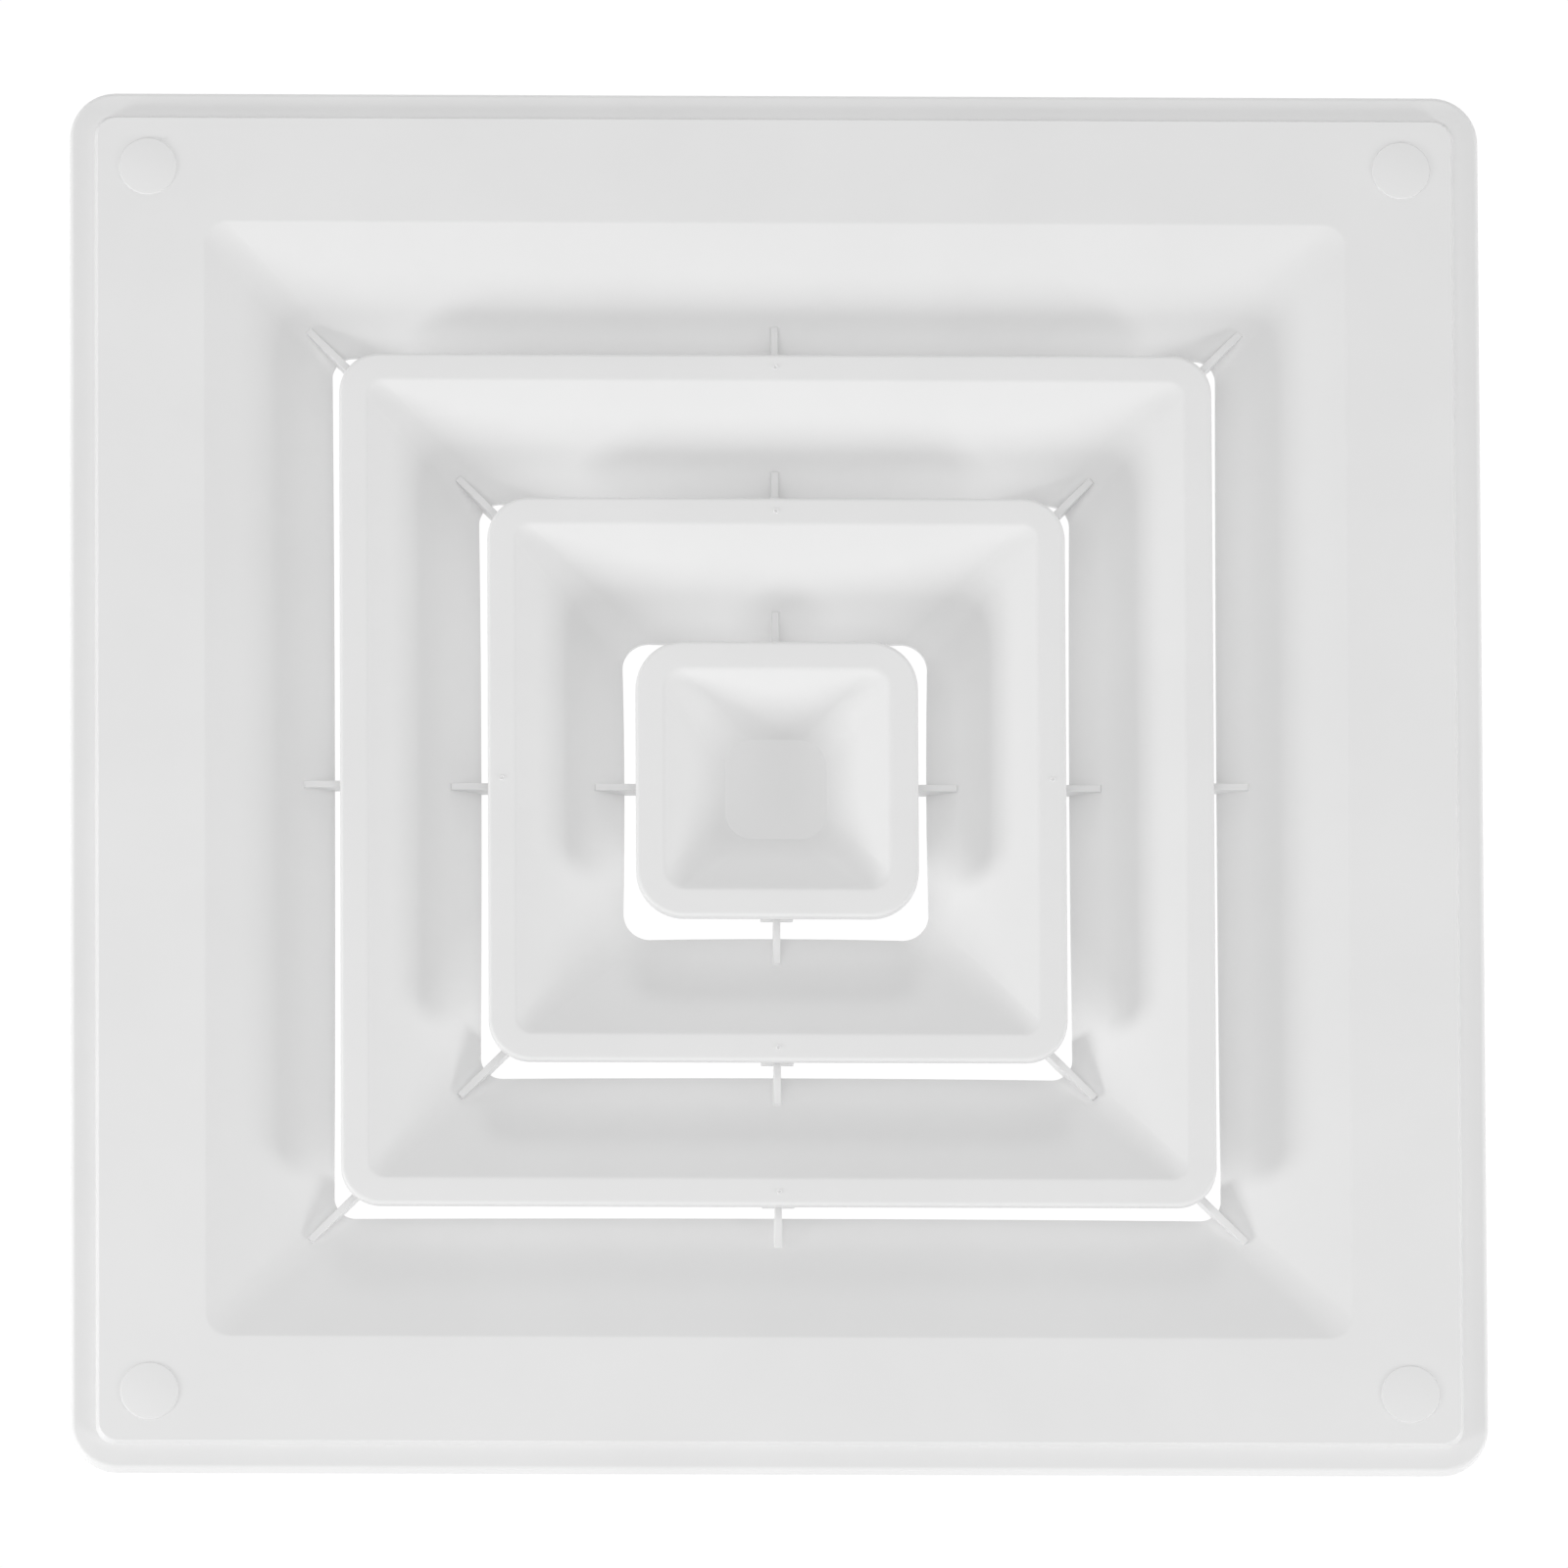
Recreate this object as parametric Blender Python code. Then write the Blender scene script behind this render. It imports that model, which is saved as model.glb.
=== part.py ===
"""Square louvred ceiling air diffuser: a frame, two ring louvres and a centre cone, with their fasteners.

It lies face up on the end of its collar, as on a bench: the room side looks up (+Z), the duct is below.
The origin is the centre of the collar's end. All sizes are in metres. A depth is measured down from the
faces of the screw caps, which are the highest points.
"""

import math
from collections import namedtuple

import bmesh
import bpy
from mathutils import Matrix, Vector

# ---- driving dimensions -------------------------------------------------------------------------

CLEARANCE = 0.0003          # kept between pieces that touch on the real object
OVERLAP = 0.0004            # how far a feature is sunk into the wall that it grows from
MERGE_DISTANCE = 1e-7
CORNER_STEPS = 5            # straight facets in each rounded corner
SIDES = 4

FACE_DEPTH = 0.00025        # of the border and louvre rims; the caps stand proud of them by this much

# Frame
FACE_HALF = 0.150
FACE_CORNER = 0.010
LIP_WIDTH = 0.0053          # the outer lip, set back from the flat border
LIP_STEP = 0.0016
STEP_RUN = 0.0005
STEP_CORNER = 0.0040
WALL = 0.0020
EDGE_HEIGHT = 0.0045        # the turned-back outer edge, from the lip to the ceiling
EDGE_BEVEL = 0.0006
CEILING_DEPTH = FACE_DEPTH + LIP_STEP + EDGE_HEIGHT
FUNNEL_HALF = 0.1215
FUNNEL_CORNER = 0.0050
FRAME_OPENING = 0.0940
OPENING_CORNER = 0.0045
FRAME_DEPTH = 0.0092
COLLAR_HALF = 0.1040
COLLAR_CORNER = 0.0070
STAND_HEIGHT = 0.0300       # from the end of the collar to the faces of the screw caps
STIFFENER_PLACES = (-0.070, 0.0, 0.070)
STIFFENER_END = 0.1255

# Louvres. The lip is the turned-back edge round each one.
LOUVRE_WALL = 0.0018
LIP_WALL = 0.0016
RIM_BEVEL = 0.0004
Louvre = namedtuple("Louvre", "name half corner lip rim rim_corner opening opening_corner depth")
OUTER = Louvre("outer_louvre", 0.0928, 0.0085, 0.0026, 0.0870, 0.0035, 0.0628, 0.0045, 0.0121)
MIDDLE = Louvre("middle_louvre", 0.0614, 0.0090, 0.0026, 0.0556, 0.0032, 0.0324, 0.0056, 0.0124)
CONE = Louvre("centre_cone", 0.0300, 0.0102, 0.0033, 0.0239, 0.0042, 0.01085, 0.0058, 0.0102)

# Ribs: level fins on each funnel that reach under the next louvre
RIB_THICKNESS = 0.0015
RIB_RISE = 0.0008           # height of a side rib above the slope at its outer end
RibSet = namedtuple("RibSet", "side_outer corner_outer corner_inner")
FRAME_RIBS = RibSet(0.1002, 0.1403, 0.1255)
OUTER_RIBS = RibSet(0.0690, 0.0953, 0.0805)
MIDDLE_RIBS = RibSet(0.0384, None, None)

# Pads at the inner ends of the side ribs, and the screws through them
PAD_WIDTH = 0.0070
PAD_THICKNESS = 0.0020
PAD_SETBACK = 0.0010        # from the outer face of the louvre's lip to the pad's outer end
PAD_LENGTH = 0.0054
BOSS_RADIUS = 0.0024
SMALL_SHANK = 0.00095
SMALL_HEAD = 0.0020
SMALL_HEAD_HEIGHT = 0.0014
SMALL_LENGTH = 0.0053
SMALL_TIP = 0.0008
PILOT_DEPTH = 0.0031
SCREW_SIDES = 12
BOSS_SIDES = 20

# Ceiling fixings and their caps, in the corners of the border
FIXING_SPACING = 0.267
CAP_RADIUS = 0.0062
CAP_BORE = 0.0050
CAP_FACE = 0.0012
CAP_HEIGHT = 0.0032
CAP_SIDES = 24
POCKET_RADIUS = CAP_RADIUS + CLEARANCE
POCKET_FLOOR = CEILING_DEPTH - WALL
FIXING_BOSS = 0.0083
FIXING_HOLE = 0.0024
FIXING_SHANK = 0.0019
FIXING_HEAD = 0.0038
FIXING_HEAD_HEIGHT = 0.0021
FIXING_LENGTH = 0.0250
FIXING_TIP = 0.0040

# Foam strips on the back of the border
FOAM_INNER = 0.1280
FOAM_OUTER = 0.1400
FOAM_HALF_LENGTH = 0.1225
FOAM_PROUD = 0.0005         # how far it stands out past the frame's edge before it is squeezed


# ---- helpers ------------------------------------------------------------------------------------

def height(depth):
    return STAND_HEIGHT - depth


def clear_scene():
    for old in list(bpy.data.objects):
        bpy.data.objects.remove(old, do_unlink=True)


def material(name, colour, roughness, metallic=0.0):
    made = bpy.data.materials.new(name)
    made.use_nodes = True
    shader = made.node_tree.nodes["Principled BSDF"]
    shader.inputs["Base Color"].default_value = (*colour, 1.0)
    shader.inputs["Roughness"].default_value = roughness
    shader.inputs["Metallic"].default_value = metallic
    made.diffuse_color = (*colour, 1.0)
    return made


def finished_mesh(name, bm):
    """A mesh with every face pointing out of the solid, made from bm, which is freed."""
    bmesh.ops.recalc_face_normals(bm, faces=bm.faces)
    mesh = bpy.data.meshes.new(name)
    bm.to_mesh(mesh)
    bm.free()
    return mesh


def place(name, mesh, parent, finish=None, location=(0.0, 0.0, 0.0), turn=0.0):
    """An object for mesh, turned about Z, then moved to location."""
    placed = bpy.data.objects.new(name, mesh)
    placed.location = location
    placed.rotation_euler = (0.0, 0.0, turn)
    placed.parent = parent
    bpy.context.scene.collection.objects.link(placed)
    if finish is not None and not mesh.materials:
        mesh.materials.append(finish)
    return placed


def shade_round(mesh, sharp_degrees=35.0):
    mesh.shade_smooth()
    mesh.set_sharp_from_angle(angle=math.radians(sharp_degrees))


def combine(target, tools, operation):
    """Adds a group of hidden solids to target, or cuts them from it."""
    group = bpy.data.collections.new(f"{target.name}_{operation.lower()}")
    for tool in tools:
        group.objects.link(tool)
        tool.hide_render = True
        tool.display_type = "WIRE"
    boolean = target.modifiers.new(group.name, "BOOLEAN")
    boolean.operation = operation
    boolean.operand_type = "COLLECTION"
    boolean.collection = group
    boolean.solver = "EXACT"


def rounded_square(half, radius, depth):
    """Points round a square with rounded corners, anticlockwise from the +X side."""
    centre = half - radius
    points = []
    for corner in range(SIDES):
        start = corner * math.pi / 2
        turn = Matrix.Rotation(start, 3, "Z")
        middle = turn @ Vector((centre, centre, 0.0))
        for step in range(CORNER_STEPS + 1):
            angle = start + step / CORNER_STEPS * math.pi / 2
            around_corner = Vector((math.cos(angle), math.sin(angle), 0.0)) * radius
            points.append(middle + around_corner + Vector((0.0, 0.0, height(depth))))
    return points


def shell_mesh(name, sections, closed_centre=False):
    """A solid through rounded square sections. It joins up as a ring, or is capped at both ends."""
    bm = bmesh.new()
    loops = [[bm.verts.new(p) for p in rounded_square(*section)] for section in sections]
    pairs = list(zip(loops, loops[1:]))
    if not closed_centre:
        pairs.append((loops[-1], loops[0]))
    for first, second in pairs:
        for i in range(len(first)):
            j = (i + 1) % len(first)
            bm.faces.new((first[i], first[j], second[j], second[i]))
    if closed_centre:
        bm.faces.new(loops[0])
        bm.faces.new(loops[-1])
    return finished_mesh(name, bm)


def prism_mesh(name, outline, thickness):
    """A plate of this thickness, along the XZ plane, from an outline of (x, depth) points."""
    bm = bmesh.new()
    side = bm.faces.new([bm.verts.new((x, -thickness / 2, height(depth))) for x, depth in outline])
    grown = bmesh.ops.extrude_face_region(bm, geom=[side])["geom"]
    moved = [item for item in grown if isinstance(item, bmesh.types.BMVert)]
    bmesh.ops.translate(bm, verts=moved, vec=(0.0, thickness, 0.0))
    return finished_mesh(name, bm)


def box_mesh(name, across, along, depths):
    """A box from its two ends in X and in Y, and its two depths."""
    bm = bmesh.new()
    low = Vector((across[0], along[0], height(depths[1])))
    high = Vector((across[1], along[1], height(depths[0])))
    size = high - low
    middle = (high + low) / 2
    bmesh.ops.create_cube(bm, size=1.0)
    bmesh.ops.scale(bm, verts=bm.verts, vec=size)
    bmesh.ops.translate(bm, verts=bm.verts, vec=middle)
    return finished_mesh(name, bm)


def turned_mesh(name, profile, sides):
    """A solid of revolution about Z from (radius, depth) points that start and end on the axis."""
    bm = bmesh.new()
    verts = [bm.verts.new((radius, 0.0, height(depth))) for radius, depth in profile]
    edges = [bm.edges.new(pair) for pair in zip(verts, verts[1:])]
    bmesh.ops.spin(
        bm, geom=verts + edges, cent=(0, 0, 0), axis=(0, 0, 1), angle=math.tau, steps=sides, use_merge=True
    )
    bmesh.ops.remove_doubles(bm, verts=bm.verts, dist=MERGE_DISTANCE)
    mesh = finished_mesh(name, bm)
    shade_round(mesh)
    return mesh


def rod_mesh(name, radius, start, end, sides=CAP_SIDES):
    return turned_mesh(name, [(0.0, start), (radius, start), (radius, end), (0.0, end)], sides)


def around(count, offset=0.0):
    """Angles of count equal turns about Z."""
    return [offset + i * math.tau / count for i in range(count)]


def corner_points():
    reach = FIXING_SPACING / 2
    return [(reach, reach), (-reach, reach), (-reach, -reach), (reach, -reach)]


# ---- funnels ------------------------------------------------------------------------------------

class Slope:
    """The sloping wall between a rim and an opening, along one line out from the centre."""

    def __init__(self, rim, opening, depth, wall):
        self.rim, self.opening, self.depth, self.wall = rim, opening, depth, wall
        self.run = rim - opening
        self.drop = wall * math.hypot(1.0, depth / self.run)

    def front(self, distance):
        return FACE_DEPTH + self.depth * (self.rim - distance) / self.run

    def back(self, distance):
        return self.front(distance) + self.drop

    def middle(self, distance):
        return self.front(distance) + self.drop / 2

    def back_meets(self, level):
        """How far out the back of the slope is where it reaches this depth."""
        return self.rim - (level - self.drop - FACE_DEPTH) * self.run / self.depth


def louvre_slope(louvre):
    return Slope(louvre.rim, louvre.opening, louvre.depth, LOUVRE_WALL)


def rib_level(slope, ribs):
    """The depth of the level tops of a funnel's ribs."""
    return slope.front(ribs.side_outer) - RIB_RISE


FRAME_SLOPE = Slope(FUNNEL_HALF, FRAME_OPENING, FRAME_DEPTH, WALL)
FRAME_LEVEL = rib_level(FRAME_SLOPE, FRAME_RIBS)
OUTER_LEVEL = rib_level(louvre_slope(OUTER), OUTER_RIBS)
MIDDLE_LEVEL = rib_level(louvre_slope(MIDDLE), MIDDLE_RIBS)


def diagonal(half, corner):
    """How far the rounded corner of a square lies from its centre."""
    return (half - corner) * math.sqrt(2) + corner


def louvre_sections(louvre):
    """The closed section of a ring louvre: lip, rim and slope, then back along their inner faces."""
    slope = louvre_slope(louvre)
    lip_end = FACE_DEPTH + louvre.lip
    rim_back = FACE_DEPTH + LOUVRE_WALL
    inside = louvre.half - LIP_WALL
    inside_corner = louvre.corner - LIP_WALL
    return [
        (louvre.half, louvre.corner, lip_end),
        (louvre.half, louvre.corner, FACE_DEPTH + RIM_BEVEL),
        (louvre.half - RIM_BEVEL, louvre.corner - RIM_BEVEL, FACE_DEPTH),
        (louvre.rim, louvre.rim_corner, FACE_DEPTH),
        (louvre.opening, louvre.opening_corner, slope.front(louvre.opening)),
        (louvre.opening, louvre.opening_corner, slope.back(louvre.opening)),
        (slope.back_meets(rim_back), louvre.rim_corner, rim_back),
        (inside, inside_corner, rim_back),
        (inside, inside_corner, lip_end),
    ]


def cone_sections(cone):
    """The section of the closed centre, from the middle of its dish round to the middle of its back."""
    slope = louvre_slope(cone)
    lip_end = FACE_DEPTH + cone.lip
    rim_back = FACE_DEPTH + LOUVRE_WALL
    dish_back = slope.front(cone.opening) + LOUVRE_WALL
    inside = cone.half - LIP_WALL
    inside_corner = cone.corner - LIP_WALL
    return [
        (cone.opening, cone.opening_corner, slope.front(cone.opening)),
        (cone.rim, cone.rim_corner, FACE_DEPTH),
        (cone.half - RIM_BEVEL, cone.corner - RIM_BEVEL, FACE_DEPTH),
        (cone.half, cone.corner, FACE_DEPTH + RIM_BEVEL),
        (cone.half, cone.corner, lip_end),
        (inside, inside_corner, lip_end),
        (inside, inside_corner, rim_back),
        (slope.back_meets(rim_back), cone.rim_corner, rim_back),
        (slope.back_meets(dish_back), cone.opening_corner, dish_back),
    ]


def frame_sections():
    """The closed section of the frame: edge, lip, border and slope, then back round the collar."""
    slope = FRAME_SLOPE
    lip_z = FACE_DEPTH + LIP_STEP
    step = FACE_HALF - LIP_WIDTH
    border_back = FACE_DEPTH + WALL
    lip_back = lip_z + WALL
    collar_inside = COLLAR_HALF - WALL
    edge_inside = FACE_HALF - WALL
    return [
        (FACE_HALF, FACE_CORNER, CEILING_DEPTH),
        (FACE_HALF, FACE_CORNER, lip_z + EDGE_BEVEL),
        (FACE_HALF - EDGE_BEVEL, FACE_CORNER - EDGE_BEVEL, lip_z),
        (step, STEP_CORNER, lip_z),
        (step - STEP_RUN, STEP_CORNER, FACE_DEPTH),
        (FUNNEL_HALF, FUNNEL_CORNER, FACE_DEPTH),
        (FRAME_OPENING, OPENING_CORNER, slope.front(FRAME_OPENING)),
        (FRAME_OPENING, OPENING_CORNER, slope.back(FRAME_OPENING)),
        (collar_inside, COLLAR_CORNER - WALL, slope.back(collar_inside)),
        (collar_inside, COLLAR_CORNER - WALL, STAND_HEIGHT),
        (COLLAR_HALF, COLLAR_CORNER, STAND_HEIGHT),
        (COLLAR_HALF, COLLAR_CORNER, slope.back(COLLAR_HALF)),
        (slope.back_meets(border_back), FUNNEL_CORNER, border_back),
        (step - STEP_RUN - WALL / 2, STEP_CORNER, border_back),
        (step - WALL / 2, STEP_CORNER, lip_back),
        (edge_inside, FACE_CORNER - WALL, lip_back),
        (edge_inside, FACE_CORNER - WALL, CEILING_DEPTH),
    ]


# ---- ribs, pads and bosses ----------------------------------------------------------------------

def pad_centre(louvre):
    """How far from the centre the screws that hold this louvre stand."""
    return louvre.half - PAD_SETBACK - PAD_LENGTH / 2


def rib_outline(slope, level, outer, inner, foot=None):
    """A level fin from its outer end on the slope to its inner end. With foot it narrows to a pad."""
    back = slope.middle(slope.opening)
    outline = [(outer, level), (outer, slope.middle(outer)), (slope.opening, back)]
    if foot is None:
        outline.append((inner, back))
    else:
        outline += [(inner + foot, back), (inner, level + PAD_THICKNESS - OVERLAP)]
    return outline + [(inner, level)]


def side_ribs(owner, slope, level, outer, held, parent):
    """The four fins across the sides of a funnel, each with the pad that the held louvre is screwed to."""
    end = held.half - PAD_SETBACK
    outline = rib_outline(slope, level, outer, end - OVERLAP, OVERLAP)
    fin = prism_mesh(f"{owner}_side_rib", outline, RIB_THICKNESS)
    pad = box_mesh(
        f"{owner}_pad",
        (end - PAD_LENGTH, end),
        (-PAD_WIDTH / 2, PAD_WIDTH / 2),
        (level, level + PAD_THICKNESS),
    )
    made = []
    for number, turn in enumerate(around(SIDES), 1):
        made.append(place(f"{owner}_side_rib_{number}", fin, parent, turn=turn))
        made.append(place(f"{owner}_pad_{number}", pad, parent, turn=turn))
    return made


def corner_ribs(owner, funnel, level, ribs, parent):
    """The four fins along the creases of a funnel, level with its side ribs."""
    rim, rim_corner, opening, opening_corner, depth, wall = funnel
    crease = Slope(diagonal(rim, rim_corner), diagonal(opening, opening_corner), depth, wall)
    outline = rib_outline(crease, level, ribs.corner_outer, ribs.corner_inner)
    fin = prism_mesh(f"{owner}_corner_rib", outline, RIB_THICKNESS)
    return [
        place(f"{owner}_corner_rib_{number}", fin, parent, turn=turn)
        for number, turn in enumerate(around(SIDES, math.pi / 4), 1)
    ]


def pad_holes(owner, level, held, parent):
    start = level - OVERLAP
    end = level + PAD_THICKNESS + OVERLAP
    hole = rod_mesh(f"{owner}_pad_hole", SMALL_SHANK + CLEARANCE, start, end, SCREW_SIDES)
    return ring_of(f"{owner}_pad_hole", hole, pad_centre(held), parent)


def louvre_bosses(louvre, level, parent):
    """Posts behind the rim that take the small screws, and stand on pads at this depth."""
    start = FACE_DEPTH + LOUVRE_WALL - OVERLAP
    boss = rod_mesh(f"{louvre.name}_boss", BOSS_RADIUS, start, level - CLEARANCE, BOSS_SIDES)
    return ring_of(f"{louvre.name}_boss", boss, pad_centre(louvre), parent)


def pilot_holes(louvre, level, parent):
    end = level - CLEARANCE
    radius = SMALL_SHANK + CLEARANCE
    hole = rod_mesh(f"{louvre.name}_pilot", radius, end - PILOT_DEPTH, end + OVERLAP, SCREW_SIDES)
    return ring_of(f"{louvre.name}_pilot", hole, pad_centre(louvre), parent)


def ring_of(name, mesh, distance, parent, finish=None):
    """One copy of mesh on each side, this far from the centre."""
    made = []
    for number, turn in enumerate(around(SIDES), 1):
        location = (distance * math.cos(turn), distance * math.sin(turn), 0.0)
        made.append(place(f"{name}_{number}", mesh, parent, finish, location, turn))
    return made


# ---- mouldings ----------------------------------------------------------------------------------

def make_frame(parent, finish):
    frame = place("frame", shell_mesh("frame", frame_sections()), parent, finish)
    funnel = (FUNNEL_HALF, FUNNEL_CORNER, FRAME_OPENING, OPENING_CORNER, FRAME_DEPTH, WALL)
    added = side_ribs("frame", FRAME_SLOPE, FRAME_LEVEL, FRAME_RIBS.side_outer, OUTER, parent)
    added += corner_ribs("frame", funnel, FRAME_LEVEL, FRAME_RIBS, parent)
    added += fixing_bosses(parent)
    added += stiffeners(FRAME_SLOPE, parent)
    combine(frame, added, "UNION")
    combine(frame, pad_holes("frame", FRAME_LEVEL, OUTER, parent) + fixing_pockets(parent), "DIFFERENCE")
    return frame


def fixing_bosses(parent):
    boss = rod_mesh("fixing_boss", FIXING_BOSS, FACE_DEPTH + WALL - OVERLAP, CEILING_DEPTH)
    return [
        place(f"fixing_boss_{number}", boss, parent, None, (x, y, 0.0))
        for number, (x, y) in enumerate(corner_points(), 1)
    ]


def fixing_pockets(parent):
    """In each corner a pocket for the cap and the screw head, with a screw hole through its floor."""
    pocket = turned_mesh(
        "fixing_pocket",
        [
            (0.0, -OVERLAP),
            (POCKET_RADIUS, -OVERLAP),
            (POCKET_RADIUS, POCKET_FLOOR),
            (FIXING_HOLE, POCKET_FLOOR),
            (FIXING_HOLE, CEILING_DEPTH + OVERLAP),
            (0.0, CEILING_DEPTH + OVERLAP),
        ],
        CAP_SIDES,
    )
    return [
        place(f"fixing_pocket_{number}", pocket, parent, None, (x, y, 0.0))
        for number, (x, y) in enumerate(corner_points(), 1)
    ]


def stiffeners(slope, parent):
    """Short webs behind the border, between the collar and the foam strips."""
    start = COLLAR_HALF - WALL / 2
    outline = [
        (start, slope.middle(start)),
        (FUNNEL_HALF, slope.middle(FUNNEL_HALF)),
        (STIFFENER_END, FACE_DEPTH + WALL - OVERLAP),
        (STIFFENER_END, CEILING_DEPTH - EDGE_BEVEL),
        (STIFFENER_END - EDGE_BEVEL, CEILING_DEPTH),
        (FUNNEL_HALF - WALL, CEILING_DEPTH),
        (start, slope.back(start) + WALL),
    ]
    web = prism_mesh("stiffener", outline, RIB_THICKNESS)
    made = []
    for side, turn in enumerate(around(SIDES), 1):
        for number, shift in enumerate(STIFFENER_PLACES, 1):
            across = Matrix.Rotation(turn, 3, "Z") @ Vector((0.0, shift, 0.0))
            made.append(place(f"stiffener_{side}_{number}", web, parent, None, across, turn))
    return made


def make_louvre(louvre, ribs, below, held, parent, finish):
    """A ring louvre that stands on pads at the depth below, with the ribs that carry the next one."""
    slope = louvre_slope(louvre)
    level = rib_level(slope, ribs)
    ring = place(louvre.name, shell_mesh(louvre.name, louvre_sections(louvre)), parent, finish)
    added = side_ribs(louvre.name, slope, level, ribs.side_outer, held, parent)
    if ribs.corner_outer is not None:
        added += corner_ribs(louvre.name, (*louvre[4:], LOUVRE_WALL), level, ribs, parent)
    combine(ring, added + louvre_bosses(louvre, below, parent), "UNION")
    holes = pad_holes(louvre.name, level, held, parent) + pilot_holes(louvre, below, parent)
    combine(ring, holes, "DIFFERENCE")
    return ring


def make_cone(cone, below, parent, finish):
    mesh = shell_mesh(cone.name, cone_sections(cone), closed_centre=True)
    dish = place(cone.name, mesh, parent, finish)
    combine(dish, louvre_bosses(cone, below, parent), "UNION")
    combine(dish, pilot_holes(cone, below, parent), "DIFFERENCE")
    return dish


# ---- fasteners, caps and seals ------------------------------------------------------------------

def make_rib_screws(owner, level, held, parent, finish):
    """Small screws from behind, through the pads and into the bosses of the louvre they hold."""
    under_head = level + PAD_THICKNESS + CLEARANCE
    face = under_head + SMALL_HEAD_HEIGHT
    end = under_head - SMALL_LENGTH
    profile = [
        (0.0, face),
        (SMALL_HEAD * 0.6, face),
        (SMALL_HEAD, under_head + SMALL_HEAD_HEIGHT * 0.45),
        (SMALL_HEAD, under_head),
        (SMALL_SHANK, under_head),
        (SMALL_SHANK, end + SMALL_TIP),
        (0.0, end),
    ]
    mesh = turned_mesh(f"{owner}_rib_screw", profile, SCREW_SIDES)
    return ring_of(f"{owner}_rib_screw", mesh, pad_centre(held), parent, finish)


def make_fixing_screws(parent, finish):
    """The screws that go through the border into the ceiling, with their heads under the caps."""
    under_head = POCKET_FLOOR - CLEARANCE
    face = under_head - FIXING_HEAD_HEIGHT
    end = under_head + FIXING_LENGTH
    profile = [
        (0.0, face),
        (FIXING_HEAD * 0.6, face),
        (FIXING_HEAD, under_head - FIXING_HEAD_HEIGHT * 0.45),
        (FIXING_HEAD, under_head),
        (FIXING_SHANK, under_head),
        (FIXING_SHANK, end - FIXING_TIP),
        (0.0, end),
    ]
    mesh = turned_mesh("fixing_screw", profile, SCREW_SIDES)
    for number, (x, y) in enumerate(corner_points(), 1):
        place(f"fixing_screw_{number}", mesh, parent, finish, (x, y, 0.0))


def make_caps(parent, finish):
    """Push-in caps: a round face with a skirt that grips the pocket. Each has its origin on its axis."""
    profile = [
        (0.0, 0.0),
        (CAP_RADIUS - FACE_DEPTH, 0.0),
        (CAP_RADIUS, FACE_DEPTH),
        (CAP_RADIUS, CAP_HEIGHT),
        (CAP_BORE, CAP_HEIGHT),
        (CAP_BORE, CAP_FACE),
        (0.0, CAP_FACE),
    ]
    mesh = turned_mesh("screw_cap", profile, CAP_SIDES)
    for number, (x, y) in enumerate(corner_points(), 1):
        place(f"screw_cap_{number}", mesh, parent, finish, (x, y, 0.0))


def make_foam(parent, finish):
    """Four strips of sealing foam that the ceiling squeezes against the back of the border."""
    depths = (FACE_DEPTH + WALL + CLEARANCE, CEILING_DEPTH + FOAM_PROUD)
    mesh = box_mesh("foam_strip", (FOAM_INNER, FOAM_OUTER), (-FOAM_HALF_LENGTH, FOAM_HALF_LENGTH), depths)
    for number, turn in enumerate(around(SIDES), 1):
        place(f"foam_strip_{number}", mesh, parent, finish, turn=turn)


def main():
    clear_scene()
    diffuser = bpy.data.objects.new("diffuser", None)
    bpy.context.scene.collection.objects.link(diffuser)
    white = material("white_plastic", (0.78, 0.78, 0.77), 0.42)
    cap_white = material("cap_plastic", (0.79, 0.79, 0.78), 0.38)
    zinc = material("zinc_plated_steel", (0.62, 0.62, 0.60), 0.30, 1.0)
    foam = material("grey_foam", (0.10, 0.10, 0.105), 0.95)
    make_frame(diffuser, white)
    make_louvre(OUTER, OUTER_RIBS, FRAME_LEVEL, MIDDLE, diffuser, white)
    make_louvre(MIDDLE, MIDDLE_RIBS, OUTER_LEVEL, CONE, diffuser, white)
    make_cone(CONE, MIDDLE_LEVEL, diffuser, white)
    make_caps(diffuser, cap_white)
    make_fixing_screws(diffuser, zinc)
    make_rib_screws("frame", FRAME_LEVEL, OUTER, diffuser, zinc)
    make_rib_screws("outer", OUTER_LEVEL, MIDDLE, diffuser, zinc)
    make_rib_screws("middle", MIDDLE_LEVEL, CONE, diffuser, zinc)
    make_foam(diffuser, foam)


main()
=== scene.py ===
"""Looks of the square louvred ceiling air diffuser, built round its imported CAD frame.

The mouldings are made again as fine meshes, with filleted walls, round corners, bevelled ribs and
gate marks. The screws get threads and driving recesses, the caps their snap beads, and the foam its
rough cut edges. The diffuser lies face up on the end of its collar, on a white table. Soft boxes
light it from low on the left, on the right and behind it, and weaker ones from above.

All sizes are in metres. A depth is measured down from the faces of the screw caps.
"""

import math
from collections import namedtuple

import bmesh
import bpy
from mathutils import Matrix, Vector, noise


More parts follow.
